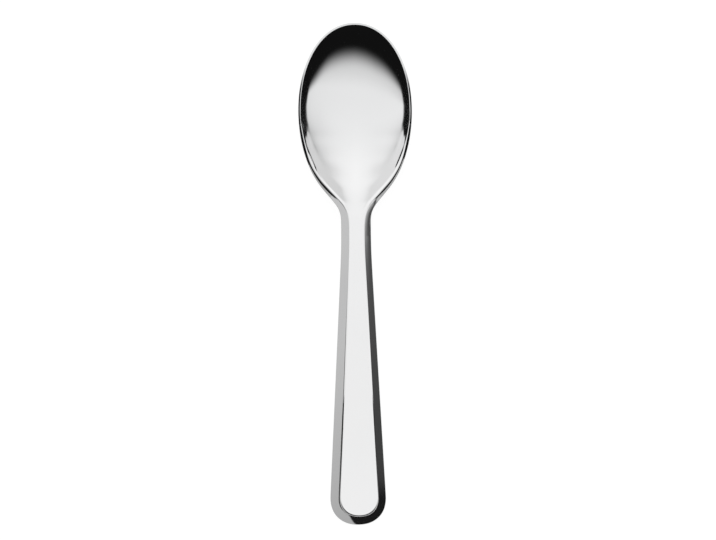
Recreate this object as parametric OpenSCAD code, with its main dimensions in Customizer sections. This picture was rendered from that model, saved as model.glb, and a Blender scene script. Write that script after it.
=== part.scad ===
// Teaspoon with a hollow handle: a pressed bowl with a tang, two handle shells and a filler.
// Millimetres. The spoon lies with its hollow up on z = 0, its tip towards +Y.

/* [Bowl] */
// Whole length from the tip to the end of the handle
spoon_l = 138.4; // [120:0.1:160]
// Widest width of the bowl
bowl_w = 31.3; // [27:0.1:36]
// From the tip to the widest place of the bowl
tip_l = 24.2; // [21:0.1:28]
// From the widest place to where the oval would close
heel_l = 26.5; // [25:0.1:30]
// From the widest place to where the side leaves the oval and runs straight
straight_l = 21.7; // [19:0.1:22.5]
// Fullness of the tip, where 2 is a plain oval
tip_fullness = 2.08; // [2:0.02:2.4]
// Depth of the hollow below the rim
bowl_depth = 6.3; // [4.5:0.1:8]
// Share of the hollow's curve that steepens its wall round the front of the rim
wall_steep = 0.25; // [0:0.05:0.5]
// From the widest place to where the hollow fades out
hollow_l = 30; // [26:0.5:31]
// Metal thickness at the bottom of the bowl
bowl_t = 1.3; // [1:0.1:2]
// Width of the flat land on the rim at the tip
rim_land = 0.1; // [0.1:0.05:0.5]
// Width of that land where the side runs straight
side_land = 0.4; // [0.2:0.05:0.7]
// Width of the bevel outside the land at the tip
rim_bevel = 0.45; // [0.3:0.05:0.55]
// Width of that bevel where the side runs straight
side_bevel = 0.95; // [0.6:0.05:1.2]

/* [Neck and handle] */
// Width of the neck
neck_w = 8.15; // [7.6:0.05:9.5]
// Radius between the bowl's side and the neck
neck_r = 7; // [5:0.2:10]
// Length of neck between that radius and the handle shells
collar_l = 4.4; // [3:0.2:8]
// Opening angle of each side of the handle
flare_a = 3; // [2:0.1:3.6]
// From the handle shells' front to where the sides begin to open
flare_l = 3.7; // [1:0.1:8]
// Length of the rounded end
end_l = 8.1; // [6:0.1:11]
// Fullness of the rounded end, where 2 is a plain oval
end_fullness = 2.2; // [2:0.05:3]
// Width of the handle's bevel, seen from above
handle_bevel = 2.15; // [1.8:0.05:2.3]
// Tilt of the bevel
bevel_a = 50; // [40:1:54]
// Height of the upright edge below the bevel
edge_t = 0.25; // [0.2:0.05:0.5]
// Depth of the back below that edge
back_d = 1.9; // [1.6:0.1:2.6]
// Fullness of the back's curve
back_fullness = 2.6; // [2.2:0.1:3.5]

/* [Side view] */
// Rim height at the tip
tip_h = 6.9; // [5.5:0.1:9]
// Line height a sixth of the way along
bowl_h = 7.2; // [6:0.1:9]
// Line height a third of the way along
heel_h = 9.4; // [8:0.1:11]
// Line height halfway along
crown_h = 11; // [9.5:0.1:15]
// Line height two thirds of the way along
mid_h = 8.9; // [8:0.1:12]
// Line height five sixths of the way along
low_h = 6.8; // [6:0.1:8]
// Line height at the end, before the end is set down on the table
end_h = 4.8; // [4:0.1:6]
// Depth of metal polished away where the spoon stands
rest_flat = 0.1; // [0.05:0.01:0.15]

/* [Inside the handle] */
// Thickness of the shells
shell_t = 0.7; // [0.5:0.05:0.8]
// Length of the tang
tang_l = 34; // [20:1:40]
// Width of the tang
tang_w = 3.8; // [3.2:0.1:4]
// Thickness of the tang
tang_t = 1.3; // [1:0.1:1.4]
// Depth of the notches that key the tang
notch_d = 0.4; // [0.2:0.1:0.6]
// Depth of the tang's upper side below the handle's face
tang_drop = 1.9; // [1.8:0.05:2]
// Gap between the filler and the shells
fill_gap = 0.1; // [0.05:0.05:0.2]
// Gap between the filler and the tang
tang_gap = 0.08; // [0.05:0.01:0.12]

/* [Hidden] */

steel = [0.82, 0.82, 0.82];
filler_grey = [0.58, 0.56, 0.52];

// Where the bowl's outline changes from oval to straight, to neck radius, to neck
side_s = tip_l + straight_l;
side_u = straight_l / heel_l;
side_w = bowl_w / 2 * sqrt(1 - side_u * side_u);
side_slope = bowl_w / 2 * side_u / (heel_l * sqrt(1 - side_u * side_u));
side_a = atan(side_slope);
arc_w = neck_w / 2 + neck_r * (1 - cos(side_a));
arc_s = side_s + (side_w - arc_w) / side_slope;
neck_s = arc_s + neck_r * sin(side_a);
bevel_s = neck_s + 3;
seam_s = neck_s + collar_l;
flare_s = seam_s + flare_l;
end_s = spoon_l - end_l;
flare_round = 3;

// Sizes that follow from the bevel
handle_edge = handle_bevel * tan(bevel_a);
handle_t = handle_edge + edge_t + back_d;

// How finely the surfaces are drawn
nose_steps = 18;
heel_steps = 12;
neck_steps = 10;
collar_steps = 3;
grip_steps = 22;
end_steps = 12;
dish_steps = [0, 0.1, 0.2, 0.3, 0.41, 0.52, 0.63, 0.74, 0.84, 0.92, 0.97, 1];
bowl_cols = len(dish_steps) + 1;
face_cols = 5;
back_cols = 7;

function ease(t) = let (c = min(max(t, 0), 1)) c * c * (3 - 2 * c);
function mix(a, b, t) = a + (b - a) * t;
function lame(c, full) = sign(c) * pow(abs(c), 2 / full);

// Height of the handle's face and of the rim along the spoon, a cubic spline over even steps
line_h = [tip_h, bowl_h, heel_h, crown_h, mid_h, low_h, end_h];
last = len(line_h) - 1;
function line_at(i) =
    i < 0 ? 2 * line_h[0] - line_h[1] :
    i > last ? 2 * line_h[last] - line_h[last - 1] : line_h[i];
function free_line(s) = let (
        u = min(max(s, 0), spoon_l) / spoon_l * last,
        i = min(floor(u), last - 1),
        f = u - i
    ) (
        pow(1 - f, 3) * line_at(i - 1)
        + (3 * pow(f, 3) - 6 * f * f + 4) * line_at(i)
        + (-3 * pow(f, 3) + 3 * f * f + 3 * f + 1) * line_at(i + 1)
        + pow(f, 3) * line_at(i + 2)
    ) / 6;

// Half width of the outline behind the widest place
function grip_w(s) = let (d = s - flare_s)
    neck_w / 2 + tan(flare_a) * (d + sqrt(d * d + flare_round * flare_round)) / 2;
function outline(s) =
    s < side_s ? bowl_w / 2 * sqrt(1 - pow((s - tip_l) / heel_l, 2)) :
    s < arc_s ? side_w - side_slope * (s - side_s) :
    s < neck_s ? grip_w(s) + neck_r - sqrt(neck_r * neck_r - pow(neck_s - s, 2)) : grip_w(s);
function spread(s) = let (m = (outline(s + 0.02) - outline(s - 0.02)) / 0.04) sqrt(1 + m * m);

// Bevel width along the spoon: thin round the tip, growing along the side into the handle's
side_rise = 2 * (side_bevel - rim_bevel) / straight_l;
function bevel(s) =
    s < tip_l ? rim_bevel :
    s < side_s ? rim_bevel + (side_bevel - rim_bevel) * pow((s - tip_l) / straight_l, 2) :
    s < bevel_s ? let (t = (s - side_s) / (bevel_s - side_s))
        mix(side_bevel, handle_bevel, ease(t)) + side_rise * (bevel_s - side_s) * t * (1 - t) * (1 - t) :
    handle_bevel;
function edge_drop(s) = bevel(s) * tan(bevel_a);
function land(s) = mix(rim_land, side_land, min((bevel(s) - rim_bevel) / (side_bevel - rim_bevel), 1));

// The hollow: its curve from middle to rim, and its depth along the spoon
hollow_bend = (1 - wall_steep) * pow(hollow_l / (tip_l - rim_bevel - rim_land), 2);
function steep(s) = wall_steep * (1 - ease((s - tip_l - 4) / 7));
function dish(r, s) = (1 - steep(s)) * r * r + steep(s) * pow(r, 4);
function depth(s) = let (t = (s - tip_l) / hollow_l) bowl_depth * (
    t < 0 ? 1 :
    t > 1 ? 0 : 1 - hollow_bend * t * t + (2 * hollow_bend - 4) * pow(t, 3) + (3 - hollow_bend) * pow(t, 4));

// The underside: metal thickness on the middle line, and how far its curve is the handle's
function middle_t(s) = mix(bowl_t, handle_t, ease((s - tip_l - 8) / (bevel_s - tip_l - 8)));
function backness(s) = ease((s - tip_l - 12) / (bevel_s - tip_l - 12));
function under(s, r) = let (q = min(abs(r), 1))
    edge_drop(s) + edge_t
    + (depth(s) + middle_t(s) - edge_drop(s) - edge_t)
    * mix(1 - dish(q, s), pow(1 - pow(q, back_fullness), 1 / back_fullness), backness(s));

// The line set down on the table, so that bowl and handle end stand on z = 0
bowl_gap = min([for (s = [tip_l - 8 : 0.25 : tip_l + 4]) free_line(s) - under(s, max(tip_l - s, 0) / tip_l)]);
end_gap = min([for (k = [0 : 40]) let (r = k / 40)
    free_line(end_s + r * end_l) - handle_edge - edge_t
    - back_d * pow(1 - pow(r, back_fullness), 1 / back_fullness)]);
function line_z(s) = free_line(s) - rest_flat
    - mix(bowl_gap, end_gap, ease((s - neck_s) / (end_s - neck_s)));

function at(x, s, z) = [x, spoon_l / 2 - s, z];

// What is polished away below the table's height at the two places where the spoon stands
module below_table() {
    translate([-bowl_w / 2, -spoon_l / 2 - 1, -2])
        cube([bowl_w, spoon_l + 2, 2]);
}

// A plate: rows of points from its rounded nose back to its straight end, columns from side to side.
// The rows up to the nose's own share their middle point, and nose 0 stands for a plate without one.
function id(i, c, cols, nose) =
    nose == 0 ? i * (2 * cols + 1) + c + cols :
    i == 0 ? abs(c) :
    c == 0 && i <= nose ? 0 : cols + 1 + (i - 1) * (2 * cols + 1) + c + cols;
function loop(rows, cols, nose) = concat(
    [for (i = [0 : rows]) id(i, cols, cols, nose)],
    [for (c = [cols - 1 : -1 : -cols]) id(rows, c, cols, nose)],
    [for (i = [rows - 1 : -1 : 1]) id(i, -cols, cols, nose)],
    nose == 0 ? [for (c = [-cols : cols - 1]) id(0, c, cols, nose)] : []);
function real(t) = t[0] != t[1] && t[1] != t[2] && t[2] != t[0];
function halves(a, b, c, d, left) = left ? [[a, b, d], [b, c, d]] : [[a, b, c], [a, c, d]];
function skin(rows, cols, nose) = [
    for (i = [0 : rows - 1])
        for (c = [-cols : cols - 1])
            for (t = halves(
                id(i, c, cols, nose),
                id(i, c + 1, cols, nose),
                id(i + 1, c + 1, cols, nose),
                id(i + 1, c, cols, nose), c < 0))
                if (real(t)) t];
function wall(rows, cols, nose, base) = let (
        ring = loop(rows, cols, nose),
        n = len(ring)
    ) [
    for (j = [0 : n - 1]) let (a = ring[j], b = ring[(j + 1) % n])
        for (t = [[a, base + a, b], [b, base + a, base + b]]) t];
function points(rows, nose) = concat(
    [for (c = [nose == 0 ? 0 : (len(rows[0]) - 1) / 2 : len(rows[0]) - 1]) rows[0][c]],
    [for (i = [1 : len(rows) - 1]) for (p = rows[i]) p]);
function turn(t) = [t[2], t[1], t[0]];

// turned: the nose points away from the bowl's tip, so every face is wound the other way
module plate(top, bottom, nose, turned) {
    rows = len(top) - 1;
    cols = (len(top[0]) - 1) / 2;
    upper = points(top, nose);
    lower = points(bottom, nose);
    base = len(upper);
    sheet = skin(rows, cols, nose);
    faces = concat(
        sheet,
        [for (t = sheet) turn(t + [base, base, base])],
        wall(rows, cols, nose, base));
    polyhedron(
        points = concat(upper, lower),
        faces = turned ? [for (t = faces) turn(t)] : faces,
        convexity = 6);
}

// Bowl: plan position and heights of column c, counted from the middle line, on its rows
function bowl_inset(k, s) = k == bowl_cols ? 0 : k == bowl_cols - 1 ? bevel(s) : bevel(s) + land(s);
function bowl_share(k) = k < len(dish_steps) ? dish_steps[k] : 1;
function rim_z(k, s) = line_z(s) - (
    k == bowl_cols ? edge_drop(s) :
    k == bowl_cols - 1 ? 0 : depth(s) * (1 - dish(bowl_share(k), s)));
function nose_plan(c, a) = let (k = abs(c), d = bowl_inset(k, 0), g = bowl_share(k)) [
    sign(c) * g * (bowl_w / 2 - d) * lame(cos(a), tip_fullness),
    tip_l - g * (tip_l - d) * lame(sin(a), tip_fullness)];
function heel_plan(c, s) = let (k = abs(c))
    [sign(c) * bowl_share(k) * (outline(s) - bowl_inset(k, s) * spread(s)), s];
function out_share(p) = p[1] < tip_l
    ? pow(pow(abs(p[0]) / (bowl_w / 2), tip_fullness) + pow((tip_l - p[1]) / tip_l, tip_fullness),
        1 / tip_fullness)
    : abs(p[0]) / outline(p[1]);
heel_rows = concat(
    [for (i = [1 : heel_steps]) mix(tip_l, side_s, i / heel_steps)],
    [for (i = [1 : neck_steps]) mix(side_s, neck_s, i / neck_steps)],
    [for (i = [1 : collar_steps]) mix(neck_s, seam_s, i / collar_steps)]);
bowl_plan = concat(
    [for (i = [0 : nose_steps]) [for (c = [-bowl_cols : bowl_cols]) nose_plan(c, 90 * (1 - i / nose_steps))]],
    [for (s = heel_rows) [for (c = [-bowl_cols : bowl_cols]) heel_plan(c, s)]]);

// Tang: rows behind the bowl's shoulder, with notches that key it in the filler
tang_rows = [0, 0.3, 0.34, 0.42, 0.46, 0.6, 0.64, 0.72, 0.76, 1];
function notched(i) = i == 3 || i == 2 || i == 6 || i == 7;
function tang_s(i, gap) = seam_s + tang_rows[i] * tang_l
    + (i == 0 && gap > 0 ? -1 : i == len(tang_rows) - 1 ? gap : 0);
function tang_side(gap, high) = [for (i = [0 : len(tang_rows) - 1]) let (
        s = tang_s(i, gap),
        half = tang_w / 2 - (notched(i) ? notch_d : 0) + gap,
        z = line_z(s) - (high ? tang_drop - gap : tang_drop + tang_t + gap)
    ) [for (c = [-bowl_cols : bowl_cols]) at(half * c / bowl_cols, s, z)]];

module bowl_with_tang() {
    top = [for (row = bowl_plan)
        [for (c = [-bowl_cols : bowl_cols]) let (p = row[c + bowl_cols]) at(p[0], p[1], rim_z(abs(c), p[1]))]];
    bottom = [for (row = bowl_plan)
        [for (p = row) at(p[0], p[1], line_z(p[1]) - under(p[1], out_share(p)))]];
    color(steel)
        difference() {
            plate(concat(top, tang_side(0, true)), concat(bottom, tang_side(0, false)), nose_steps, false);
            below_table();
        }
}

// Handle: each column is a step [inset from the outline, drop below the face, share of the half width]
function grip_row(i, front, steps, cols) = [for (c = [-cols : cols]) let (
        step = steps[abs(c)],
        turn_a = 90 * (1 - i / end_steps),
        round_end = i <= end_steps,
        s = round_end
            ? end_s + step[2] * (end_l - step[0]) * lame(sin(turn_a), end_fullness)
            : mix(end_s, front, (i - end_steps) / grip_steps),
        half = (grip_w(s) - step[0]) * (round_end ? lame(cos(turn_a), end_fullness) : 1)
    ) at(sign(c) * step[2] * half, s, line_z(s) - step[1])];
function grip_side(front, steps) = [for (i = [0 : end_steps + grip_steps])
    grip_row(i, front, steps, len(steps) - 1)];

// Steps across the face and bevel, outside, and inside at depth t down to a given edge
parting = handle_edge + edge_t;
outer_face = [
    [handle_bevel, 0, 0],
    [handle_bevel, 0, 0.5],
    [handle_bevel, 0, 1],
    [handle_bevel / 2, handle_edge / 2, 1],
    [0, handle_edge, 1],
    [0, parting, 1]];
function inner_face(t, edge, low) = let (flat = handle_bevel + t * tan(bevel_a / 2)) concat(
    [for (g = [0, 0.5, 1]) [flat, t, g]],
    [for (k = [1 : 3]) [mix(flat, edge, k / 3), mix(t, low, k / 3), 1]]);
// Steps across the back's curve, of a given depth below the parting line
function back_curve(inset, d, cols) = [for (k = [0 : cols]) let (a = 90 * k / cols)
    [inset, parting + d * lame(cos(a), back_fullness), lame(sin(a), back_fullness)]];

// The filler keeps its gap from both shells, and its thin side edges stay further in
fill_t = shell_t + fill_gap;
fill_edge = shell_t + 3 * fill_gap;
fill_low = fill_t + (handle_bevel + fill_t * tan(bevel_a / 2) - fill_edge) * tan(bevel_a);

module handle_face_shell() {
    color(steel)
        plate(
            grip_side(seam_s, outer_face),
            grip_side(seam_s, inner_face(shell_t, shell_t, parting)), end_steps, true);
}

module handle_back_shell() {
    color(steel)
        difference() {
            plate(
                grip_side(seam_s, back_curve(shell_t, back_d - shell_t, back_cols)),
                grip_side(seam_s, back_curve(0, back_d, back_cols)), end_steps, true);
            below_table();
        }
}

module handle_filler() {
    front = seam_s + fill_gap;
    color(filler_grey)
        difference() {
            plate(
                grip_side(front, inner_face(fill_t, fill_edge, fill_low)),
                grip_side(front, back_curve(fill_edge, back_d - fill_t, face_cols)), end_steps, true);
            plate(tang_side(tang_gap, true), tang_side(tang_gap, false), 0, false);
        }
}

bowl_with_tang();
handle_face_shell();
handle_back_shell();
handle_filler();
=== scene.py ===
import math

import bmesh
import bpy
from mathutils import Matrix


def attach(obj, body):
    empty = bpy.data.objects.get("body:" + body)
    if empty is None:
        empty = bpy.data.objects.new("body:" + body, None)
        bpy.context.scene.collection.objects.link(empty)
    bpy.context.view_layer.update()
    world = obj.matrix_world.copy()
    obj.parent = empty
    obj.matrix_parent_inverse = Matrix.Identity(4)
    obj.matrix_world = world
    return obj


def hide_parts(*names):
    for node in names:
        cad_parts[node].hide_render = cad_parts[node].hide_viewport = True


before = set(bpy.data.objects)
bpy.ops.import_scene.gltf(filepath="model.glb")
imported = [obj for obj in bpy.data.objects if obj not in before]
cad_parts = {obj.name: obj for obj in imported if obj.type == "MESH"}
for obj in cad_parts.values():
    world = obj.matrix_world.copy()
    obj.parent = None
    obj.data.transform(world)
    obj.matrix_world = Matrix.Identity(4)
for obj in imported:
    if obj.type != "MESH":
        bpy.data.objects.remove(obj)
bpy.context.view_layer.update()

MM = 0.001

# The spoon's sizes in millimetres, as in the part. s runs from the bowl's tip to the handle's end.
SPOON_L = 138.4
BOWL_W = 31.3
TIP_L = 24.2
HEEL_L = 26.5
STRAIGHT_L = 21.7
TIP_FULLNESS = 2.08
BOWL_DEPTH = 6.3
WALL_STEEP = 0.25
HOLLOW_L = 30.0
BOWL_T = 1.3
RIM_LAND = 0.1
SIDE_LAND = 0.4
RIM_BEVEL = 0.45
SIDE_BEVEL = 0.95
NECK_W = 8.15
NECK_R = 7.0
COLLAR_L = 4.4
FLARE_A = math.radians(3)
FLARE_L = 3.7
FLARE_ROUND = 3.0
END_L = 8.1
END_FULLNESS = 2.2
HANDLE_BEVEL = 2.15
BEVEL_A = math.radians(50)
EDGE_T = 0.25
BACK_D = 1.9
BACK_FULLNESS = 2.6
LINE_H = (6.9, 7.2, 9.4, 11.0, 8.9, 6.8, 4.8)
REST_FLAT = 0.1
SHELL_T = 0.7
TANG_L = 34.0
TANG_W = 3.8
TANG_T = 1.3
TANG_DROP = 1.9
NOTCH_D = 0.4
TANG_CUTS = (0.3, 0.34, 0.42, 0.46, 0.6, 0.64, 0.72, 0.76)
TANG_NOTCHES = (0.34, 0.42, 0.64, 0.72)

# Where the bowl's outline changes from oval to straight, to neck radius, to neck
SIDE_S = TIP_L + STRAIGHT_L
SIDE_U = STRAIGHT_L / HEEL_L
SIDE_W = BOWL_W / 2 * math.sqrt(1 - SIDE_U**2)
SIDE_SLOPE = BOWL_W / 2 * SIDE_U / (HEEL_L * math.sqrt(1 - SIDE_U**2))
SIDE_A = math.atan(SIDE_SLOPE)
ARC_W = NECK_W / 2 + NECK_R * (1 - math.cos(SIDE_A))
ARC_S = SIDE_S + (SIDE_W - ARC_W) / SIDE_SLOPE
NECK_S = ARC_S + NECK_R * math.sin(SIDE_A)
BEVEL_S = NECK_S + 3
SEAM_S = NECK_S + COLLAR_L
FLARE_S = SEAM_S + FLARE_L
END_S = SPOON_L - END_L
HANDLE_EDGE = HANDLE_BEVEL * math.tan(BEVEL_A)
PARTING = HANDLE_EDGE + EDGE_T
HANDLE_T = PARTING + BACK_D
SIDE_RISE = 2 * (SIDE_BEVEL - RIM_BEVEL) / STRAIGHT_L
HOLLOW_BEND = (1 - WALL_STEEP) * (HOLLOW_L / (TIP_L - RIM_BEVEL - RIM_LAND)) ** 2

# Forms that only the scene has, in millimetres as well.
# Rounding of the polished edges: thin round the bowl's front, fuller at its sides and the handle
RIM_ROUND = 0.012
SIDE_ROUND = 0.38
GRIP_ROUND = 0.22
FOOT_ROUND = 0.04
# How much wider the bowl's bevel is behind its widest place, and the handle's bevels at its end
RIM_WIDEN = 0.18
END_WIDEN = 0.26
# Width of the land that the rounding leaves, round the bowl's front and behind it
LAND_LEFT = (0.01, 0.11)
# How far the handle's face sits right of the middle line, as the photograph shows it
FACE_LEAN = 0.28
# The steepest that the hollow's wall gets inside the land
WALL_SLOPE = 0.97
# The flatter cheeks of the hollow, which start behind the bowl's widest place and end at the neck
CHEEK_S = 29.0
CHEEK_FULL_S = 43.7
CHEEK_END_S = 51.2
CHEEK_W = (1.24, 2.65)
CHEEK_SLOPE = (0.66, 0.59)
# The low step at the top of a cheek
LIP_W = 0.45
STEP_H = 0.435
# Slope of the hollow below a cheek's foot, the share of it that is lost towards the neck, and the
# most that the hollow bends to reach it
FOOT_SLOPE = (0.868, 0.79)
FOOT_LOSS = 0.45
FOOT_BEND = 0.6
# The deepest that a cheek's foot lies, as a share of the hollow's depth
FOOT_DEEPEST = 0.9
# How much further back a cheek opens at its top than at its foot, and the length of its opening
TOP_LATE = 5.6
OPENING_L = 4.0
# Shares of the way out over a rounded back, closer towards its edge
BACK_SHARES = (0.796, 0.921, 0.983, 0.9965)
# Length of a bevel's soft start and end, in times the rounding beside it
SOFT_START = 2.6
# Spacing of the hollow's rings beside the step's edges, of the net inside them where there is no
# cheek, and the place of the ring between the two as a share of the way out
RING_GAP = 0.1
STEP_GAP = 0.05
NET_GAP = 0.4
NET_SHARE = 0.3
# Faces that meet flatter than this look smooth
SMOOTH_A = math.radians(35)

# Changes along the spoon, each with its start and its length
WALL_EASES = (TIP_L + 4, 7)
BACK_THICKENS = (TIP_L + 8, BEVEL_S - TIP_L - 8)
BACK_ROUNDS = (TIP_L + 12, BEVEL_S - TIP_L - 12)
LINE_SETTLES = (NECK_S, END_S - NECK_S)
RIM_WIDENS = (TIP_L, 8)
RIM_NARROWS = (TIP_L + 12, 5)
END_WIDENS = (SEAM_S + 12, 50)
SIDE_ROUNDS = (TIP_L + 9, 7)
GRIP_ROUNDS = (SIDE_S, ARC_S - SIDE_S)
LAND_WIDENS = (TIP_L, 5)
WALL_TO_LAND = (TIP_L, 6)
CHEEK_WIDENS = (CHEEK_S - 2, 2)
CHEEK_CLOSES = (CHEEK_FULL_S + 1, CHEEK_END_S - CHEEK_FULL_S - 1)
CHEEK_FLATTENS = (CHEEK_S + 7, 9)
STEP_FADES = (CHEEK_S + 8.5, 9.5)
FOOT_SOFTENS = (CHEEK_S + 4, 4)
FOOT_FADES = (CHEEK_S + 9, 5)
RINGS_SPREAD = (CHEEK_S, 3)


def ease(t):
    c = min(max(t, 0.0), 1.0)
    return c * c * (3 - 2 * c)


def mix(a, b, t):
    return a + (b - a) * t


def passed(s, change):
    """How much of a change has taken place at s, from 0 to 1."""
    start, length = change
    return ease((s - start) / length)


def line_h(i):
    last = len(LINE_H) - 1
    if i < 0:
        return 2 * LINE_H[0] - LINE_H[1]
    if i > last:
        return 2 * LINE_H[last] - LINE_H[last - 1]
    return LINE_H[i]


def free_line(s):
    """Height of the handle's face and the rim before the spoon is set down on the table."""
    last = len(LINE_H) - 1
    u = min(max(s, 0), SPOON_L) / SPOON_L * last
    i = min(int(u), last - 1)
    f = u - i
    return (
        (1 - f) ** 3 * line_h(i - 1)
        + (3 * f**3 - 6 * f * f + 4) * line_h(i)
        + (-3 * f**3 + 3 * f * f + 3 * f + 1) * line_h(i + 1)
        + f**3 * line_h(i + 2)
    ) / 6


def grip_w(s):
    """Half width of the handle."""
    d = s - FLARE_S
    return NECK_W / 2 + math.tan(FLARE_A) * (d + math.sqrt(d * d + FLARE_ROUND**2)) / 2


def outline(s):
    """Half width of the outline behind the bowl's widest place."""
    if s < SIDE_S:
        return BOWL_W / 2 * math.sqrt(max(0.0, 1 - ((s - TIP_L) / HEEL_L) ** 2))
    if s < ARC_S:
        return SIDE_W - SIDE_SLOPE * (s - SIDE_S)
    if s < NECK_S:
        return grip_w(s) + NECK_R - math.sqrt(NECK_R**2 - (NECK_S - s) ** 2)
    return grip_w(s)


def spread(s):
    """Width across the spoon of what is one millimetre wide square to the outline."""
    near = 0.02
    slope = (outline(s + near) - outline(s - near)) / (2 * near)
    return math.sqrt(1 + slope * slope)


def bevel(s):
    if s < TIP_L:
        return RIM_BEVEL
    if s < SIDE_S:
        return RIM_BEVEL + (SIDE_BEVEL - RIM_BEVEL) * ((s - TIP_L) / STRAIGHT_L) ** 2
    if s < BEVEL_S:
        length = BEVEL_S - SIDE_S
        t = (s - SIDE_S) / length
        return mix(SIDE_BEVEL, HANDLE_BEVEL, ease(t)) + SIDE_RISE * length * t * (1 - t) ** 2
    return HANDLE_BEVEL


def edge_drop(s):
    return bevel(s) * math.tan(BEVEL_A)


def land(s):
    """Width of the part's flat land inside the bevel, which grows with the bevel."""
    grown = min((bevel(s) - RIM_BEVEL) / (SIDE_BEVEL - RIM_BEVEL), 1)
    return mix(RIM_LAND, SIDE_LAND, grown)


def bent(r, steep):
    return (1 - steep) * r * r + steep * r**4


def dish(r, s):
    return bent(r, WALL_STEEP * (1 - passed(s, WALL_EASES)))


def cheek(s):
    """Width of the hollow's flatter strip inside the land."""
    t = min((s - CHEEK_S) / (CHEEK_FULL_S - CHEEK_S), 1)
    widest = mix(CHEEK_W[1], CHEEK_W[0], (1 - t) ** 2)
    return widest * passed(s, CHEEK_WIDENS) * (1 - passed(s, CHEEK_CLOSES))


def depth(s):
    t = (s - TIP_L) / HOLLOW_L
    if t < 0:
        return BOWL_DEPTH
    if t > 1:
        return 0.0
    return BOWL_DEPTH * (
        1 - HOLLOW_BEND * t * t + (2 * HOLLOW_BEND - 4) * t**3 + (3 - HOLLOW_BEND) * t**4
    )


def oval(x, s, cut):
    """Share of the way out from the bowl's middle to its front outline less a cut."""
    across = abs(x) / (BOWL_W / 2 - cut)
    along = (TIP_L - s) / (TIP_L - cut)
    return (across**TIP_FULLNESS + along**TIP_FULLNESS) ** (1 / TIP_FULLNESS)


def round_back(r):
    return (1 - r**BACK_FULLNESS) ** (1 / BACK_FULLNESS)


def under(s, r):
    """Depth of the underside below the line, r being the share of the way out to the outline."""
    q = min(abs(r), 1.0)
    middle = mix(BOWL_T, HANDLE_T, passed(s, BACK_THICKENS))
    edge = edge_drop(s) + EDGE_T
    form = mix(1 - dish(q, s), round_back(q), passed(s, BACK_ROUNDS))
    return edge + (depth(s) + middle - edge) * form


# How far the bowl and the handle's end stand above the table before the spoon is set down
BOWL_GAP = min(
    free_line(s) - under(s, max(TIP_L - s, 0) / TIP_L)
    for s in [TIP_L - 8 + 0.25 * i for i in range(49)]
)
END_GAP = min(
    free_line(END_S + r * END_L) - PARTING - BACK_D * round_back(r)
    for r in [k / 40 for k in range(41)]
)


def line_z(s):
    """Height of the handle's face and the rim on the table."""
    return free_line(s) - REST_FLAT - mix(BOWL_GAP, END_GAP, passed(s, LINE_SETTLES))


def round_at(s):
    """Rounding between the bevel and the land."""
    side = mix(RIM_ROUND, SIDE_ROUND, passed(s, SIDE_ROUNDS))
    return mix(side, GRIP_ROUND, passed(s, GRIP_ROUNDS))


def face_edge(s):
    """Inset of the bevel's upper edge."""
    rim = RIM_WIDEN * passed(s, RIM_WIDENS) * (1 - passed(s, RIM_NARROWS))
    return bevel(s) + rim + END_WIDEN * passed(s, END_WIDENS)


def land_out(s):
    return face_edge(s) + round_at(s)


def land_in(s):
    return land_out(s) + mix(*LAND_LEFT, passed(s, LAND_WIDENS))


def hollow_z(x, s):
    """Height of the bowl's inner surface."""
    cut = mix(bevel(s) + land(s), land_in(s), passed(s, WALL_TO_LAND))
    if s < TIP_L:
        near = 0.01
        r = oval(x, s, cut)
        steepest = math.hypot(oval(x + near, s, cut) - r, oval(x, s - near, cut) - r) / near
        inside = max(1 - r, 0.0) / steepest if r > 0.5 else BOWL_W
        return line_z(s) - min(depth(s) * (1 - dish(min(r, 1.0), s)), WALL_SLOPE * inside)
    half = outline(s) - cut * spread(s)
    plain = depth(s) * (1 - dish(min(abs(x) / half, 1.0), s))
    plain = min(plain, WALL_SLOPE * max(half - abs(x), 0.0) / spread(s))
    if not CHEEK_S < s < CHEEK_END_S:
        return line_z(s) - plain
    # The cheek starts with a low step inside the land, and the hollow falls away again at its foot
    half = outline(s) - land_in(s) * spread(s)
    width = cheek(s)
    inner = half - width * spread(s)
    inside = max(half - abs(x), 0.0) / spread(s)
    step = STEP_H * (1 - passed(s, STEP_FADES))
    slope = mix(*CHEEK_SLOPE, passed(s, CHEEK_FLATTENS))
    foot = min(step + slope * max(width - LIP_W, 0.0), FOOT_DEEPEST * depth(s))
    if inside < LIP_W:
        creased = step * inside / LIP_W
    elif inside < width:
        creased = mix(step, foot, (inside - LIP_W) / (width - LIP_W))
    else:
        fall = depth(s) - foot
        slope = mix(*FOOT_SLOPE, passed(s, FOOT_SOFTENS)) * (1 - FOOT_LOSS * passed(s, FOOT_FADES))
        steep = min(max(slope * inner / (2 * fall) - 1, 0.0), FOOT_BEND)
        creased = foot + fall * (1 - bent(abs(x) / inner, steep))
    # It opens from its foot upwards, so that the wall above it thins out
    late = TOP_LATE * max(1 - inside / width, 0.0)
    return line_z(s) - mix(plain, creased, passed(s, (CHEEK_S + late, OPENING_L)))


def under_z(x, s):
    r = oval(x, s, 0) if s < TIP_L else abs(x) / outline(s)
    return line_z(s) - under(s, r)


def at(x, s, z):
    return (x * MM, (SPOON_L / 2 - s) * MM, z * MM)


SEAM_Y = (SPOON_L / 2 - SEAM_S) * MM
# How close two points lie that count as one, in metres
SAME_PLACE = 1e-6


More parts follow.
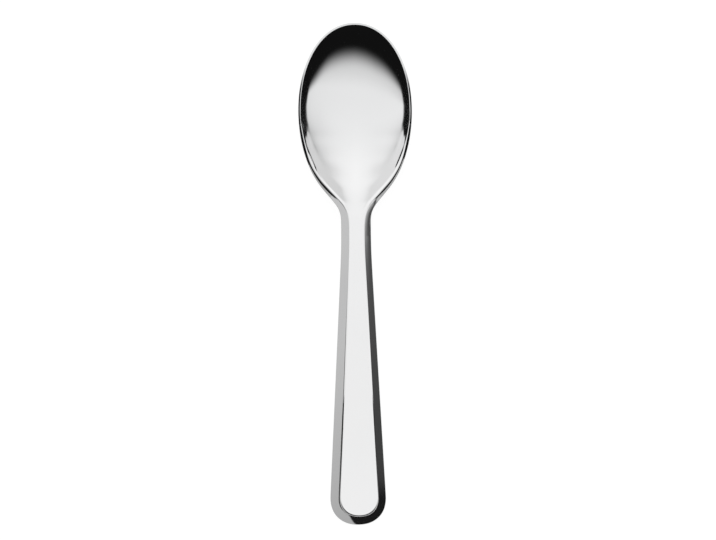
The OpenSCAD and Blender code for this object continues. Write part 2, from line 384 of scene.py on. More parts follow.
class Tongue:
    """Plan of a sheet that is cut square at the seam and rounded at its far end.

    A rim mark is (side, s, angle): s on the straight rows, or else the angle round the end.
    """

    def __init__(
        self, turn, nose, fullness, way, half, nose_half, flank, lean, rows, nose_rows, columns
    ):
        self.turn, self.nose, self.power, self.way = turn, nose, 2 / fullness, way
        self.half, self.nose_half, self.flank, self.lean = half, nose_half, flank, lean
        self.rows, self.nose_rows, self.columns = rows, nose_rows, columns
        corner = math.pi / 4
        left = [(-1, mix(SEAM_S, turn, j / rows), None) for j in range(rows + 1)]
        left += [(-1, None, corner * j / nose_rows) for j in range(1, nose_rows)]
        angles = [mix(corner, math.pi - corner, i / columns) for i in range(columns + 1)]
        self.arc = [(-1 if a < math.pi / 2 else 1, None, a) for a in angles]
        right = [(1, s, None if a is None else math.pi - a) for _, s, a in left]
        self.left, self.right = left + self.arc[:1], right + self.arc[-1:]
        self.rim = left + self.arc + right[::-1]

    def at_rim(self, mark, inset, share=1.0):
        side, s, angle = mark
        if angle is None:
            cut = inset(s)
            return side * share * (self.half(s) - cut * self.flank(s)) + self.lean(s, cut), s
        cut = inset(self.turn)
        s = self.turn + self.way * share * (self.nose - cut) * math.sin(angle) ** self.power
        x = side * share * (self.nose_half(s) - cut) * abs(math.cos(angle)) ** self.power
        return x + self.lean(self.turn, cut), s

    def net(self, inset, share=1.0):
        """Plan points inside a ring of the rim: rows from the seam out, each from left to right."""
        left = [self.at_rim(m, inset, share) for m in self.left]
        right = [self.at_rim(m, inset, share) for m in self.right]
        arc = [self.at_rim(m, inset, share) for m in self.arc]
        rows = []
        for j, (x, s) in enumerate(left):
            v = max(j - self.rows, 0) / self.nose_rows
            row = []
            for i, (arc_x, arc_s) in enumerate(arc):
                u = i / self.columns
                bow = arc_x - mix(arc[0][0], arc[-1][0], u)
                row.append((mix(x, right[j][0], u) + v * bow, s + v * (arc_s - arc[0][1])))
            rows.append(row)
        return rows


def alone(piece):
    bpy.ops.object.select_all(action="DESELECT")
    piece.select_set(True)
    bpy.context.view_layer.objects.active = piece


def select_open_edges(piece, keep):
    """In edit mode, selects the open edges that pass the test keep."""
    bpy.ops.mesh.select_mode(type="EDGE")
    bpy.ops.mesh.select_all(action="DESELECT")
    mesh = bmesh.from_edit_mesh(piece.data)
    for edge in mesh.edges:
        edge.select_set(edge.is_boundary and keep(edge))
    bmesh.update_edit_mesh(piece.data)


def in_seam(vert):
    return abs(vert.co.y - SEAM_Y) < SAME_PLACE


def lay_sheet(name, plan, ring):
    """A flat blank, laid to the ring's outline in plan and pressed to its heights."""
    inset, share, height = ring
    bpy.ops.object.select_all(action="DESELECT")
    length = abs(SEAM_S - plan.turn) + plan.nose
    middle = SEAM_S + plan.way * length / 2
    last = plan.rows + plan.nose_rows
    bpy.ops.mesh.primitive_grid_add(
        x_subdivisions=plan.columns,
        y_subdivisions=last,
        size=1,
        location=at(0, middle, line_z(middle)),
        scale=(2 * plan.half(plan.turn) * MM, length * MM, 1),
    )
    sheet = bpy.context.object
    sheet.name = sheet.data.name = name
    bpy.ops.object.transform_apply(location=True, rotation=True, scale=True)
    rim = sheet.data.attributes.new("rim", "INT", "POINT")
    sheet.data.attributes.new("crisp", "INT", "POINT")
    for j, row in enumerate(plan.net(inset, share)):
        for i, (x, s) in enumerate(row):
            index = j * (plan.columns + 1) + i
            sheet.data.vertices[index].co = at(x, s, height(x, s))
            mark = -1
            if i == 0:
                mark = j
            elif j == last:
                mark = last + i
            elif i == plan.columns:
                mark = 2 * last + plan.columns - j
            rim.data[index].value = mark
    return sheet


def draw_out(sheet, plan, ring, crisp=0):
    """Draws the sheet's open edge, apart from the seam, out to the next ring of its rim."""
    inset, share, height = ring
    alone(sheet)
    bpy.ops.object.mode_set(mode="EDIT")
    select_open_edges(sheet, lambda e: not (in_seam(e.verts[0]) and in_seam(e.verts[1])))
    bpy.ops.mesh.extrude_edges_move()
    bpy.ops.object.mode_set(mode="OBJECT")
    marks = sheet.data.attributes["rim"].data
    crisps = sheet.data.attributes["crisp"].data
    for vert in sheet.data.vertices:
        if vert.select:
            x, s = plan.at_rim(plan.rim[marks[vert.index].value], inset, share)
            vert.co = at(x, s, height(x, s))
            crisps[vert.index].value = crisp


def crease_rings(skin):
    """In edit mode, keeps the rings with a crisp mark sharp for when the skin is smoothed."""
    mesh = bmesh.from_edit_mesh(skin.data)
    layer = mesh.verts.layers.int["crisp"]
    bpy.ops.mesh.select_mode(type="EDGE")
    bpy.ops.mesh.select_all(action="DESELECT")
    for edge in mesh.edges:
        a, b = (v[layer] for v in edge.verts)
        edge.select_set(a == b and a > 0)
    bmesh.update_edit_mesh(skin.data)
    bpy.ops.transform.edge_crease(value=1.0)


def press_skin(name, plan, upper, lower, crisp_rings=()):
    """Two sheets, each given as rings from the inside out, joined where their last rings meet."""
    sheets = []
    for part, rings in (("upper", upper), ("lower", lower)):
        sheet = lay_sheet(name + "_" + part, plan, rings[0])
        for ring in rings[1:]:
            crisp = crisp_rings.index(ring) + 1 if ring in crisp_rings else 0
            draw_out(sheet, plan, ring, crisp)
        sheets.append(sheet)
    alone(sheets[0])
    sheets[1].select_set(True)
    bpy.ops.object.join()
    skin = bpy.context.object
    skin.name = skin.data.name = name
    bpy.ops.object.mode_set(mode="EDIT")
    bpy.ops.mesh.select_all(action="SELECT")
    bpy.ops.mesh.remove_doubles(threshold=SAME_PLACE)
    bpy.ops.mesh.normals_make_consistent(inside=False)
    if crisp_rings:
        crease_rings(skin)
    bpy.ops.object.mode_set(mode="OBJECT")
    bpy.ops.object.modifier_add(type="SUBSURF")
    smooth = skin.modifiers[-1]
    smooth.levels = smooth.render_levels = 2
    smooth.boundary_smooth = "PRESERVE_CORNERS"
    bpy.ops.object.modifier_apply(modifier=smooth.name)
    return skin


def flatten_foot(skin):
    """Polishes flat what stands below the table's height."""
    alone(skin)
    bpy.ops.object.mode_set(mode="EDIT")
    bpy.ops.mesh.select_mode(type="VERT")
    bpy.ops.mesh.select_all(action="DESELECT")
    mesh = bmesh.from_edit_mesh(skin.data)
    for vert in mesh.verts:
        vert.select_set(vert.co.z < 0)
    bmesh.update_edit_mesh(skin.data)
    bpy.ops.transform.resize(value=(1, 1, 0), center_override=(0, 0, 0))
    bpy.ops.object.mode_set(mode="OBJECT")


def close_seam(skin):
    alone(skin)
    bpy.ops.object.mode_set(mode="EDIT")
    select_open_edges(skin, lambda e: True)
    bpy.ops.mesh.fill(use_beauty=True)
    bpy.ops.mesh.select_all(action="SELECT")
    bpy.ops.mesh.normals_make_consistent(inside=False)
    bpy.ops.object.mode_set(mode="OBJECT")


def finish_skin(skin, node, material):
    for name in ("rim", "crisp"):
        skin.data.attributes.remove(skin.data.attributes[name])
    alone(skin)
    bpy.ops.object.shade_smooth_by_angle(angle=SMOOTH_A)
    skin.data.materials.clear()
    skin.data.materials.append(material)
    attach(skin, "root")
    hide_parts(node)


# Rings of the bowl's rim, from the hollow out over land, bevel and wall to the underside
def flat_z(x, s):
    return line_z(s)


def inside_land(at_front, behind):
    """Inset of a ring in the hollow: close to the land in front, further in along the cheeks."""
    def inset(s):
        return land_in(s) + mix(at_front, behind, passed(s, RINGS_SPREAD))
    return inset


hollow_lip = inside_land(at_front=0.02, behind=RING_GAP)
hollow_step = inside_land(at_front=0.05, behind=LIP_W - STEP_GAP)
hollow_near = inside_land(at_front=0.1, behind=LIP_W + RING_GAP)


def hollow_side(s):
    return max(hollow_near(s) + NET_GAP, land_in(s) + cheek(s))


def cheek_side(s):
    return mix(hollow_side(s), hollow_near(s), NET_SHARE)


def bevel_way(s):
    return math.hypot(face_edge(s), edge_drop(s))


def on_bevel(way_down):
    """A ring on the bevel, at a distance from the bevel's upper edge along its slope."""
    def inset(s):
        return face_edge(s) * (1 - way_down(s) / bevel_way(s))

    def height(x, s):
        return line_z(s) - edge_drop(s) * way_down(s) / bevel_way(s)
    return inset, 1.0, height


bevel_in = on_bevel(round_at)
bevel_near = on_bevel(lambda s: SOFT_START * round_at(s))
bevel_far = on_bevel(lambda s: bevel_way(s) - SOFT_START * FOOT_ROUND)
bevel_out = on_bevel(lambda s: bevel_way(s) - FOOT_ROUND)


def no_inset(s):
    return 0.0


def wall_top_z(x, s):
    return line_z(s) - edge_drop(s) - FOOT_ROUND


def wall_foot_z(x, s):
    return line_z(s) - edge_drop(s) - EDGE_T + FOOT_ROUND


def face_lean(s, inset):
    grown = (bevel(s) - RIM_BEVEL) / (HANDLE_BEVEL - RIM_BEVEL)
    return FACE_LEAN * grown * min(inset / bevel(s), 1.0)


bowl_plan = Tongue(
    turn=TIP_L, nose=TIP_L, fullness=TIP_FULLNESS, way=-1,
    half=outline, nose_half=lambda s: BOWL_W / 2, flank=spread, lean=face_lean,
    rows=30, nose_rows=10, columns=24,
)
land_to_wall = [
    (land_in, 1.0, flat_z),
    (land_out, 1.0, flat_z),
    bevel_in,
    bevel_near,
    bevel_far,
    bevel_out,
    (no_inset, 1.0, wall_top_z),
]
wall_foot = (no_inset, 1.0, wall_foot_z)
hollow_rings = (hollow_side, cheek_side, hollow_near, hollow_step, hollow_lip)
bowl_top = [(inset, 1.0, hollow_z) for inset in hollow_rings] + land_to_wall + [wall_foot]
bowl_under = [(no_inset, share, under_z) for share in BACK_SHARES] + [wall_foot]

grip_plan = Tongue(
    turn=END_S, nose=END_L, fullness=END_FULLNESS, way=1,
    half=grip_w, nose_half=grip_w, flank=lambda s: 1.0, lean=face_lean,
    rows=34, nose_rows=8, columns=12,
)


def parting_z(x, s):
    return line_z(s) - PARTING


def shell_inset(s):
    return SHELL_T


def inner_flat(s):
    return HANDLE_BEVEL + SHELL_T * math.tan(BEVEL_A / 2)


def inner_flat_z(x, s):
    return line_z(s) - SHELL_T


def back_curve(cut):
    """Height of the handle's rounded back, or of its inner side at a cut below it."""
    def height(x, s):
        across = abs(x) / (grip_w(s) - cut)
        along = max(s - END_S, 0) / (END_L - cut)
        r = min((across**END_FULLNESS + along**END_FULLNESS) ** (1 / END_FULLNESS), 1.0)
        return line_z(s) - PARTING - (BACK_D - cut) * round_back(r)
    return height


parting_out = (no_inset, 1.0, parting_z)
parting_in = (shell_inset, 1.0, parting_z)
face_outside = land_to_wall + [parting_out]
face_inside = [(inner_flat, 1.0, inner_flat_z), parting_in, parting_out]
back_outside = [(no_inset, share, back_curve(0)) for share in BACK_SHARES] + [parting_out]
back_inside = [(shell_inset, share, back_curve(SHELL_T)) for share in BACK_SHARES]
back_inside += [parting_in, parting_out]


def add_tang():
    """A flat bar cut with notches on both sides, open at the seam and bent to the handle's line."""
    bpy.ops.object.select_all(action="DESELECT")
    middle = SEAM_S + TANG_L / 2
    bpy.ops.mesh.primitive_cube_add(
        size=1,
        location=at(0, middle, 0),
        scale=(TANG_W * MM, TANG_L * MM, TANG_T * MM),
    )
    tang = bpy.context.object
    bpy.ops.object.transform_apply(location=True, rotation=True, scale=True)
    bpy.ops.object.mode_set(mode="EDIT")
    for share in TANG_CUTS:
        bpy.ops.mesh.select_all(action="SELECT")
        cut_at = at(0, SEAM_S + share * TANG_L, 0)
        bpy.ops.mesh.bisect(plane_co=cut_at, plane_no=(0, 1, 0))
    bpy.ops.mesh.select_mode(type="FACE")
    bpy.ops.mesh.select_all(action="DESELECT")
    mesh = bmesh.from_edit_mesh(tang.data)
    for face in mesh.faces:
        face.select_set(face.normal.y > 0.9)
    bmesh.update_edit_mesh(tang.data)
    bpy.ops.mesh.delete(type="ONLY_FACE")
    bpy.ops.mesh.select_mode(type="VERT")
    for share in (0,) + TANG_CUTS + (1,):
        s = SEAM_S + share * TANG_L
        bpy.ops.mesh.select_all(action="DESELECT")
        mesh = bmesh.from_edit_mesh(tang.data)
        for vert in mesh.verts:
            vert.select_set(abs(vert.co.y - at(0, s, 0)[1]) < SAME_PLACE)
        bmesh.update_edit_mesh(tang.data)
        lift = line_z(s) - TANG_DROP - TANG_T / 2
        bpy.ops.transform.translate(value=(0, 0, lift * MM))
        if share in TANG_NOTCHES:
            narrow = 1 - 2 * NOTCH_D / TANG_W
            bpy.ops.transform.resize(value=(narrow, 1, 1), center_override=at(0, s, lift))
    bpy.ops.object.mode_set(mode="OBJECT")
    return tang


def set_inputs(node, *settings):
    for name, value in settings:
        node.inputs[name].default_value = value


class Shading:
    """Adds to one node tree the nodes that work out tones from places."""

    def __init__(self, tree):
        self.nodes, self.links = tree.nodes, tree.links

    def place(self, kind="Object"):
        """The shaded place, whole and along each axis."""
        whole = self.nodes.new("ShaderNodeTexCoord").outputs[kind]
        axes = self.nodes.new("ShaderNodeSeparateXYZ")
        self.links.new(whole, axes.inputs[0])
        return whole, axes.outputs["X"], axes.outputs["Y"], axes.outputs["Z"]

    def noise(self, place, scale, detail, roughness):
        node = self.nodes.new("ShaderNodeTexNoise")
        self.links.new(place, node.inputs["Vector"])
        set_inputs(node, ("Scale", scale), ("Detail", detail), ("Roughness", roughness))
        return node.outputs["Fac"]

    def maths(self, kind, a, b=0.0):
        node = self.nodes.new("ShaderNodeMath")
        node.operation = kind
        for socket, value in zip(node.inputs, (a, b)):
            if isinstance(value, (int, float)):
                socket.default_value = value
            else:
                self.links.new(value, socket)
        return node.outputs[0]

    def times(self, a, b):
        return self.maths("MULTIPLY", a, b)

    def plus(self, a, b):
        return self.maths("ADD", a, b)

    def minus(self, a, b):
        return self.maths("SUBTRACT", a, b)

    def over(self, a, b):
        return self.maths("DIVIDE", a, b)

    def least(self, a, b):
        return self.maths("MINIMUM", a, b)

    def most(self, a, b):
        return self.maths("MAXIMUM", a, b)

    def within(self, value, low, high):
        return self.least(self.most(value, low), high)

    def fade(self, value, low, high, at_low=0.0, at_high=1.0):
        """A soft change between two tones while a value goes from low to high."""
        node = self.nodes.new("ShaderNodeMapRange")
        node.interpolation_type = "SMOOTHSTEP"
        self.links.new(value, node.inputs["Value"])
        set_inputs(node, ("From Min", low), ("From Max", high))
        set_inputs(node, ("To Min", at_low), ("To Max", at_high))
        return node.outputs["Result"]


# Tints of the steel where it is bright, and where it is worn and where painted shade greys it
BRIGHT_STEEL = (0.655, 0.655, 0.657, 1)
WORN_AND_SHADED_STEEL = (0.567, 0.569, 0.572, 1)
# Roughness that polishing lines and rubbed feet add
LINE_ROUGH = 0.02
RUBBED_ROUGH = 0.22
# Shares of lines and haze in the wear
LINE_WEAR = 0.4
HAZE_WEAR = 6.0
# Fades of the polish and of the painted shade and light, each from a low to a high value and
# between two tones. Places are in metres.
CLOUDS_SHOW = (0.45, 0.75, 0.0, 1.0)
FEET_END = (0.0, 0.0009, 1.0, 0.0)
LINES_RUBBED = (0.35, 0.7, 0.25, 1.0)
WEAR_SHOWS = (0.1, 0.8, 0.0, 0.2)
# Painted shade, greyer towards the bowl's tip and behind the neck, and painted light, brighter at
# the handle's end
BOWL_PAINTED_SHADE = (0.026, 0.043, 0.05, 0.95)
NECK_PAINTED_SHADE = (0.018, 0.026, 0.4, 0.0)
END_PAINTED_LIGHT = (-0.024, 0.0, 0.47, 0.0)


def make_polish_marks_and_painted_shading():
    """Shared by the steel pieces: fine polishing lines, faint handling marks, rubbed feet, and
    painted shade and painted light along the spoon.
    """
    group = bpy.data.node_groups.new("polish_marks_and_painted_shading", "ShaderNodeTree")
    for name in ("Along", "Across", "Smooth", "Haze"):
        group.interface.new_socket(name, in_out="INPUT", socket_type="NodeSocketFloat")
    group.interface.new_socket("Color", in_out="OUTPUT", socket_type="NodeSocketColor")
    for name in ("Roughness", "Height"):
        group.interface.new_socket(name, in_out="OUTPUT", socket_type="NodeSocketFloat")
    nodes, links = group.nodes, group.links
    given = nodes.new("NodeGroupInput").outputs
    result = nodes.new("NodeGroupOutput").inputs
    tones = Shading(group)
    place, x, y, z = tones.place()
    # Polishing lines run along the spoon, so their pattern is stretched that way
    stretched = nodes.new("ShaderNodeCombineXYZ")
    for socket, axis, size in zip(stretched.inputs, (x, y, z), ("Across", "Along", "Across")):
        links.new(tones.times(axis, given[size]), socket)
    lines = tones.noise(stretched.outputs[0], scale=1.0, detail=3.0, roughness=0.6)
    # Faint clouds where the spoon was handled and wiped
    clouds = tones.noise(place, scale=70.0, detail=4.0, roughness=0.55)
    haze = tones.times(tones.fade(clouds, *CLOUDS_SHOW), given["Haze"])
    # The two places that stand on the table are rubbed duller
    scuffs = tones.times(tones.fade(z, *FEET_END), tones.fade(lines, *LINES_RUBBED))
    rough = tones.plus(given["Smooth"], haze)
    rough = tones.plus(rough, tones.times(lines, LINE_ROUGH))
    rough = tones.plus(rough, tones.times(scuffs, RUBBED_ROUGH))
    links.new(rough, result["Roughness"])
    # Painted shade makes the bowl and the spoon behind its neck a little greyer, and painted light
    # makes the handle's end brighter
    painted_shade = tones.plus(tones.fade(y, *BOWL_PAINTED_SHADE), tones.fade(y, *NECK_PAINTED_SHADE))
    painted_light = tones.fade(y, *END_PAINTED_LIGHT)
    wear_and_painted_shading = tones.plus(tones.times(lines, LINE_WEAR), tones.times(haze, HAZE_WEAR))
    wear_and_painted_shading = tones.minus(tones.plus(tones.fade(wear_and_painted_shading, *WEAR_SHOWS), painted_shade), painted_light)
    tint = nodes.new("ShaderNodeMix")
    tint.data_type = "RGBA"
    set_inputs(tint, ("A", BRIGHT_STEEL), ("B", WORN_AND_SHADED_STEEL))
    links.new(wear_and_painted_shading, tint.inputs["Factor"])
    links.new(tint.outputs["Result"], result["Color"])
    links.new(tones.plus(lines, scuffs), result["Height"])
    return group


def make_steel(name, marks, along, across, smooth, haze, bump):
    steel = bpy.data.materials.new(name)
    steel.use_nodes = True
    nodes, links = steel.node_tree.nodes, steel.node_tree.links
    surface = nodes["Principled BSDF"]
    set_inputs(surface, ("Metallic", 1.0))
    # The group gives the steel its polish marks, and the painted shade and painted light along the
    # spoon
    polish_and_painted_shading = nodes.new("ShaderNodeGroup")
    polish_and_painted_shading.node_tree = marks
    set_inputs(polish_and_painted_shading, ("Along", along), ("Across", across), ("Smooth", smooth), ("Haze", haze))
    links.new(polish_and_painted_shading.outputs["Color"], surface.inputs["Base Color"])
    links.new(polish_and_painted_shading.outputs["Roughness"], surface.inputs["Roughness"])
    relief = nodes.new("ShaderNodeBump")
    set_inputs(relief, ("Strength", bump), ("Distance", 0.00001))
    links.new(polish_and_painted_shading.outputs["Height"], relief.inputs["Height"])
    links.new(relief.outputs["Normal"], surface.inputs["Normal"])
    return steel


def make_cement():
    """Set handle cement: chalky, speckled and slightly pitted."""
    cement = bpy.data.materials.new("set_cement")
    cement.use_nodes = True
    nodes, links = cement.node_tree.nodes, cement.node_tree.links
    surface = nodes["Principled BSDF"]
    place = nodes.new("ShaderNodeTexCoord").outputs["Object"]
    grains = Shading(cement.node_tree).noise(place, scale=900.0, detail=5.0, roughness=0.65)
    shade = nodes.new("ShaderNodeValToRGB")
    dark, pale = shade.color_ramp.elements
    dark.position, dark.color = 0.3, (0.36, 0.33, 0.29, 1)
    pale.position, pale.color = 0.7, (0.60, 0.57, 0.52, 1)
    links.new(grains, shade.inputs["Fac"])
    links.new(shade.outputs["Color"], surface.inputs["Base Color"])
    set_inputs(surface, ("Roughness", 0.85))
    pits = nodes.new("ShaderNodeBump")
    set_inputs(pits, ("Strength", 0.4), ("Distance", 0.0002))
    links.new(grains, pits.inputs["Height"])
    links.new(pits.outputs["Normal"], surface.inputs["Normal"])
    return cement


polish_marks_and_painted_shading = make_polish_marks_and_painted_shading()
bowl_steel = make_steel(
    "polished_steel_bowl", polish_marks_and_painted_shading,
    along=200.0, across=3000.0, smooth=0.05, haze=0.03, bump=0.015,
)
grip_steel = make_steel(
    "polished_steel_handle", polish_marks_and_painted_shading,
    along=100.0, across=3000.0, smooth=0.05, haze=0.03, bump=0.015,
)

spoon_bowl = press_skin("spoon_bowl", bowl_plan, bowl_top, bowl_under)
flatten_foot(spoon_bowl)
tang = add_tang()
alone(spoon_bowl)
tang.select_set(True)
bpy.ops.object.join()
close_seam(spoon_bowl)
finish_skin(spoon_bowl, "bowl_with_tang", bowl_steel)

crisp_parting = (parting_out, parting_in)
handle_face = press_skin("handle_face", grip_plan, face_outside, face_inside, crisp_parting)
close_seam(handle_face)
finish_skin(handle_face, "handle_face_shell", grip_steel)

handle_back = press_skin("handle_back", grip_plan, back_inside, back_outside, crisp_parting)
flatten_foot(handle_back)
close_seam(handle_back)
finish_skin(handle_back, "handle_back_shell", grip_steel)

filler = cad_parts["handle_filler"]
filler.data.materials.clear()
filler.data.materials.append(make_cement())

# The table and what lies on it, in metres: the floor just clears the spoon's feet
TABLE_W = 6
FLOOR_Z = -0.00005
TABLE_CARD_Z = -0.00002
# Tones of the table card
CARD_PALE = 0.62
CARD_DARK = 0.02
CARD_BRIGHT = 1.3
# It gets dark on the way from the handle to the bowl and away from the bowl's middle, and bright
# before the tip, where it lies further ahead of that middle than aside of it
HANDLE_Y = (0.01, 0.02)
BOWL_REACH = (0.021, 0.029)
TIP_WEDGE = (0.2, 0.6)
# The white boards fade from the handle's end towards the bowl
BOARD_FADE = (-0.11, -0.04, 0.9, 0.0)


def make_floor():
    """A pale table that glows a little, so that the shadow stays faint; clear from below."""
    bpy.ops.object.select_all(action="DESELECT")
    bpy.ops.mesh.primitive_plane_add(size=TABLE_W, location=(0, 0, FLOOR_Z))
    floor = bpy.context.object
    floor.name = "pale_table"
    pale = bpy.data.materials.new("pale_table")
    pale.use_nodes = True
    nodes, links = pale.node_tree.nodes, pale.node_tree.links
    surface = nodes["Principled BSDF"]
    set_inputs(surface, ("Base Color", (0.2, 0.2, 0.2, 1)), ("Roughness", 0.9))
    set_inputs(surface, ("Specular IOR Level", 0.0))
    set_inputs(surface, ("Emission Color", (1, 1, 1, 1)), ("Emission Strength", 0.88))
    side = nodes.new("ShaderNodeNewGeometry")
    above = Shading(pale.node_tree).minus(1.0, side.outputs["Backfacing"])
    links.new(above, surface.inputs["Alpha"])
    floor.data.materials.append(pale)


def glowing(name):
    """A material that only glows, and the node that its strength is led to."""
    glow = bpy.data.materials.new(name)
    glow.use_nodes = True
    surface = glow.node_tree.nodes["Principled BSDF"]
    set_inputs(surface, ("Base Color", (0, 0, 0, 1)), ("Roughness", 1.0))
    set_inputs(surface, ("Specular IOR Level", 0.0), ("Emission Color", (1, 1, 1, 1)))
    return glow, surface


def only_reflected(card):
    card.visible_camera = card.visible_diffuse = card.visible_shadow = False
    card.visible_transmission = card.visible_volume_scatter = False


def make_table_card():
    """What the bowl mirrors of the table: pale all round, but dark to the bowl's left and right."""
    bowl_middle = at(0, TIP_L, 0)
    bpy.ops.object.select_all(action="DESELECT")
    bpy.ops.mesh.primitive_plane_add(size=TABLE_W, location=(0, 0, TABLE_CARD_Z))
    card = bpy.context.object
    card.name = "table_card"
    glow, surface = glowing("table_card")
    nodes, links = glow.node_tree.nodes, glow.node_tree.links
    tones = Shading(glow.node_tree)
    place, x, y, _ = tones.place()
    apart = nodes.new("ShaderNodeVectorMath")
    apart.operation = "DISTANCE"
    links.new(place, apart.inputs[0])
    apart.inputs[1].default_value = bowl_middle
    aside = tones.most(tones.maths("ABSOLUTE", x), 0.0001)
    ahead = tones.over(tones.minus(y, bowl_middle[1]), aside)
    beside_handle = tones.fade(y, *HANDLE_Y, CARD_PALE, CARD_DARK)
    close_by = tones.fade(apart.outputs["Value"], *BOWL_REACH, CARD_PALE, CARD_DARK)
    before_tip = tones.fade(ahead, *TIP_WEDGE, CARD_DARK, CARD_BRIGHT)
    paler = tones.most(tones.most(beside_handle, close_by), before_tip)
    links.new(paler, surface.inputs["Emission Strength"])
    card.data.materials.append(glow)
    only_reflected(card)


# A low strip stands round the handle. Its heights are drops below the handle's flat, in
# millimetres: the lower edge, and the upper one at the neck and further back. Round the neck it
# is raised.
STRIP_AWAY = -6.0
STRIP_S = NECK_S - 3
STRIP_FOOT = 4.6
STRIP_TOP = (-1.1, -0.3)
STRIP_TOP_L = 60
STRIP_RAISE = 4
STRIP_LOWERS = (STRIP_S, 7)
STRIP_ROWS = 24
NECK_MARKS = 16
# Where the strip's left side turns into its right one, leaning with the drop up to a height
TURN_X = (-7.4, -6.7)
TURN_LEAN = 1.7
TURN_TOP = -1.0
# Tones of the left and the right side from the seam to the handle's end
LEFT_TONES = (0.86, 0.62)
RIGHT_TONES = (0.1, 0.04)
RIGHT_DARK = 0.014
RIGHT_COMES = (NECK_S - 3, 7)
RIGHT_GOES = (END_S - 6, 8)
# Both sides start with a dark top, which ends the rim's dark line
TOP_PALES = (NECK_S - 2.6, 1.6)
DARK_TOP_ENDS = (0.3, 0.8)
# At the neck a dark band runs down the right side, and the side is pale above and below it
BAND_S = NECK_S - 2.8
BAND_L = 2.6
BAND_DROPS = (0.2, 3.6)
ABOVE_TONE = 0.74
ABOVE_COMES = (-0.15, 1.1)
ABOVE_RISE = 0.19
ABOVE_RISE_H = 1
ABOVE_S = NECK_S - 2
ABOVE_FADE_L = 6
BELOW_TONE = 0.7
BELOW_COMES = (0.3, 0.6)
BELOW_GOES = (NECK_S, 2.5)


def strip_tones(s, drop):
    """Brightness of the strip's left and right side."""
    along = max(s - SEAM_S, 0) / (SPOON_L - SEAM_S)
    start = passed(s, TOP_PALES)
    left = mix(*LEFT_TONES, along) * (1 - (1 - start) * (1 - passed(drop, DARK_TOP_ENDS)))
    right = mix(*RIGHT_TONES, along) * (1 - passed(s, RIGHT_GOES)) * passed(s, RIGHT_COMES)
    band = mix(*BAND_DROPS, min(max((s - BAND_S) / BAND_L, 0.0), 1.0))
    height = band - drop
    above = ABOVE_TONE * passed(height, ABOVE_COMES)
    above += ABOVE_RISE * max(height - ABOVE_RISE_H, 0.0)
    above *= start * math.exp((ABOVE_S - s) / ABOVE_FADE_L)
    below = BELOW_TONE * passed(-height, BELOW_COMES) * (1 - passed(s, BELOW_GOES))
    return left, RIGHT_DARK + right + above + below


def make_handle_cards():
    """A low strip that stands round the handle and is mirrored by its bevels."""
    marks = [grip_plan.at_rim(mark, lambda s: STRIP_AWAY) for mark in grip_plan.rim]
    neck = [mix(STRIP_S, SEAM_S, k / NECK_MARKS) for k in range(NECK_MARKS)]
    neck = [(outline(s) - STRIP_AWAY, s) for s in neck]
    marks = [(-x, s) for x, s in neck] + marks + neck[::-1]
    bpy.ops.object.select_all(action="DESELECT")
    bpy.ops.mesh.primitive_grid_add(
        x_subdivisions=len(marks) - 1, y_subdivisions=STRIP_ROWS, size=0.01
    )
    card = bpy.context.object
    card.name = "handle_cards"
    names = ("left_tone", "right_tone", "turn")
    values = [card.data.attributes.new(name, "FLOAT", "POINT") for name in names]
    for j in range(STRIP_ROWS + 1):
        for i, (x, s) in enumerate(marks):
            index = j * len(marks) + i
            top = mix(*STRIP_TOP, min((s - STRIP_S) / STRIP_TOP_L, 1))
            top -= STRIP_RAISE * (1 - passed(s, STRIP_LOWERS))
            drop = mix(STRIP_FOOT, top, j / STRIP_ROWS)
            card.data.vertices[index].co = at(x, s, line_z(s) - drop)
            turn = x - TURN_LEAN * max(drop, TURN_TOP)
            for value, number in zip(values, strip_tones(s, drop) + (turn,)):
                value.data[index].value = number
    glow, surface = glowing("handle_cards")
    nodes, links = glow.node_tree.nodes, glow.node_tree.links
    reads = []
    for name in names:
        read = nodes.new("ShaderNodeAttribute")
        read.attribute_name = name
        reads.append(read.outputs["Fac"])
    left, right, turn = reads
    border = nodes.new("ShaderNodeMapRange")
    links.new(turn, border.inputs["Value"])
    set_inputs(border, ("From Min", TURN_X[0]), ("From Max", TURN_X[1]))
    shade = nodes.new("ShaderNodeMix")
    shade.data_type = "FLOAT"
    links.new(border.outputs["Result"], shade.inputs["Factor"])
    links.new(left, shade.inputs["A"])
    links.new(right, shade.inputs["B"])
    links.new(shade.outputs["Result"], surface.inputs["Emission Strength"])
    card.data.materials.append(glow)
    only_reflected(card)


def make_boards():
    """White boards low beside and behind the handle's end, fading out towards the bowl."""
    for name, middle, turn, (width, height) in (
        ("board_left", (-45, -110, 25.5), math.pi / 2, (140, 23)),
        ("board_right", (45, -110, 25.5), math.pi / 2, (140, 23)),
        ("board_back", (0, -400, 130), 0, (500, 80)),
    ):
        bpy.ops.object.select_all(action="DESELECT")
        bpy.ops.mesh.primitive_plane_add(
            size=1,
            location=[c * MM for c in middle],
            rotation=(math.pi / 2, 0, turn),
        )
        board = bpy.context.object
        board.name = name
        board.scale = (width * MM, height * MM, 1)
        bpy.ops.object.transform_apply(location=True, rotation=True, scale=True)
        glow, surface = glowing(name)
        tones = Shading(glow.node_tree)
        y = tones.place()[2]
        faded = tones.fade(y, *BOARD_FADE)
        glow.node_tree.links.new(faded, surface.inputs["Emission Strength"])
        board.data.materials.append(glow)
        only_reflected(board)


# The panel overhead, on a ceiling at height one. Right is +X, and along is +Y, to the bowl's tip.
# Its edge over the handle
EDGE_ALONG = (-1.07, -0.37)
EDGE_POWER = 2.4
EDGE_BOW = 0.045
EDGE_SKEW = 0.07
SKEW_RIGHT = (-0.65, 1.2)
SKEW_GOES = (2.4, 0.6)
# Its lower edge all round, as the rise of a direction, and how much higher that is over the handle
EDGE_RISE = (0.13, 0.195)
EDGE_LIFT = 0.1
# The part next to the edge over the handle is dimmer
DIM_ALONG = (-0.45, -0.08)
DIM_SKEW = 0.08
DIM_SHARE = 0.2
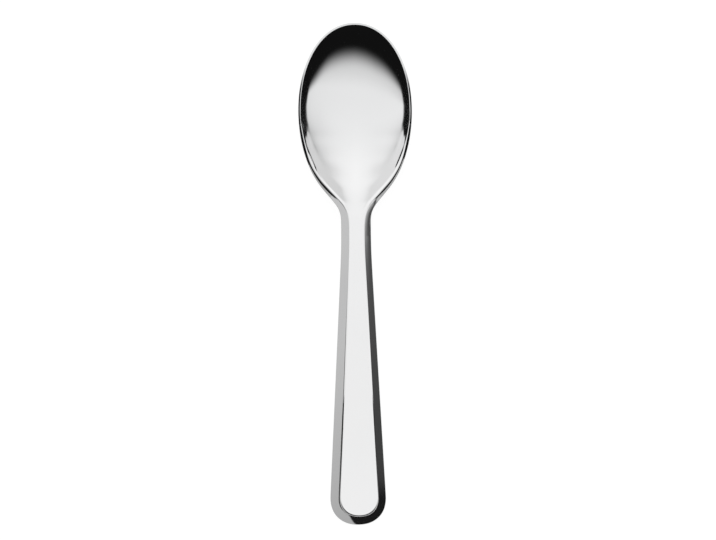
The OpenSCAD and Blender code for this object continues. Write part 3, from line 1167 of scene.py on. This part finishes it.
# It dims to both sides, more so on the right, and brightens beyond the bowl
SIDES_LOSS = -0.0117
RIGHT_LOSS = -0.0107
SIDES_END = 7.0
BEYOND_GAIN = 0.126
BEYOND_END = 0.3
# Its glow, the glow of the dark room round it, and the light from below
PANEL_GLOW = 1.365
ROOM_GLOW = 0.009
BELOW_GLOW = 0.9
BELOW_DIP = (0.1, 0.7)
# What the camera sees of the sky itself
BACKDROP_GLOW = 0.95


def make_sky():
    """Soft studio light: one wide panel overhead that fades out towards the handle's end."""
    world = bpy.data.worlds.new("studio")
    bpy.context.scene.world = world
    world.use_nodes = True
    nodes, links = world.node_tree.nodes, world.node_tree.links
    nodes.clear()
    tones = Shading(world.node_tree)
    _, x, y, z = tones.place("Generated")
    up = tones.most(z, 0.001)
    right = tones.over(x, up)
    aside = tones.maths("ABSOLUTE", right)
    along = tones.over(y, up)
    bowed = tones.minus(along, tones.times(aside, EDGE_BOW))
    askew = tones.times(tones.within(right, *SKEW_RIGHT), tones.fade(right, *SKEW_GOES))
    edge = tones.fade(tones.plus(bowed, tones.times(askew, EDGE_SKEW)), *EDGE_ALONG)
    edge = tones.maths("POWER", edge, EDGE_POWER)
    over_handle = tones.within(tones.times(bowed, -1.0), 0.0, 1.0)
    rise = tones.minus(z, tones.times(over_handle, EDGE_LIFT))
    panel = tones.times(edge, tones.fade(rise, *EDGE_RISE))
    soft = tones.fade(tones.plus(along, tones.times(right, DIM_SKEW)), *DIM_ALONG)
    soft = tones.plus(tones.times(soft, DIM_SHARE), 1 - DIM_SHARE)
    panel = tones.times(panel, soft)
    dim = tones.times(tones.least(aside, SIDES_END), SIDES_LOSS)
    dim = tones.plus(dim, tones.times(tones.least(right, SIDES_END), RIGHT_LOSS))
    lift = tones.times(tones.within(along, 0.0, BEYOND_END), BEYOND_GAIN)
    panel = tones.times(panel, tones.plus(tones.plus(dim, lift), 1.0))
    # Two dimmer places beyond the bowl: one on the right, one on both sides
    for side, sideways, lengthways, loss in (
        (right, (0.37, 1.63), (-0.08, 0.4), -0.058),
        (aside, (-0.31, 0.84), (0.0, 2.17), -0.234),
    ):
        corner = tones.times(tones.fade(side, *sideways), tones.fade(along, *lengthways))
        panel = tones.times(panel, tones.plus(tones.times(corner, loss), 1.0))
    light = tones.plus(tones.times(panel, PANEL_GLOW), ROOM_GLOW)
    # A second soft light from below, for whoever looks at the spoon's underside
    below = tones.fade(tones.times(z, -1.0), *BELOW_DIP)
    light = tones.plus(light, tones.times(below, BELOW_GLOW))
    seen = nodes.new("ShaderNodeLightPath")
    shown = nodes.new("ShaderNodeMix")
    shown.data_type = "FLOAT"
    links.new(seen.outputs["Is Camera Ray"], shown.inputs["Factor"])
    links.new(light, shown.inputs["A"])
    set_inputs(shown, ("B", BACKDROP_GLOW))
    glow = nodes.new("ShaderNodeBackground")
    set_inputs(glow, ("Color", (1, 1, 1, 1)))
    links.new(shown.outputs["Result"], glow.inputs["Strength"])
    out = nodes.new("ShaderNodeOutputWorld")
    links.new(glow.outputs[0], out.inputs["Surface"])


def make_camera():
    """Straight down on the spoon, turned a little as in the photograph."""
    photo_w = 716
    mm_a_pixel = 0.2753
    rim_h = 7.0
    away = 2400.0
    aim_x, aim_y = 0.45, 1.10
    turned = math.radians(-0.46)
    data = bpy.data.cameras.new("camera")
    camera = bpy.data.objects.new("camera", data)
    bpy.context.collection.objects.link(camera)
    data.sensor_width = 36.0
    data.lens = data.sensor_width * away / (photo_w * mm_a_pixel)
    data.clip_start, data.clip_end = 0.05, 20.0
    camera.location = (aim_x * MM, aim_y * MM, (away + rim_h) * MM)
    camera.rotation_euler = (0, 0, turned)
    bpy.context.scene.camera = camera


make_floor()
make_table_card()
make_handle_cards()
make_boards()
make_sky()
make_camera()
bpy.context.scene.view_settings.view_transform = "Standard"
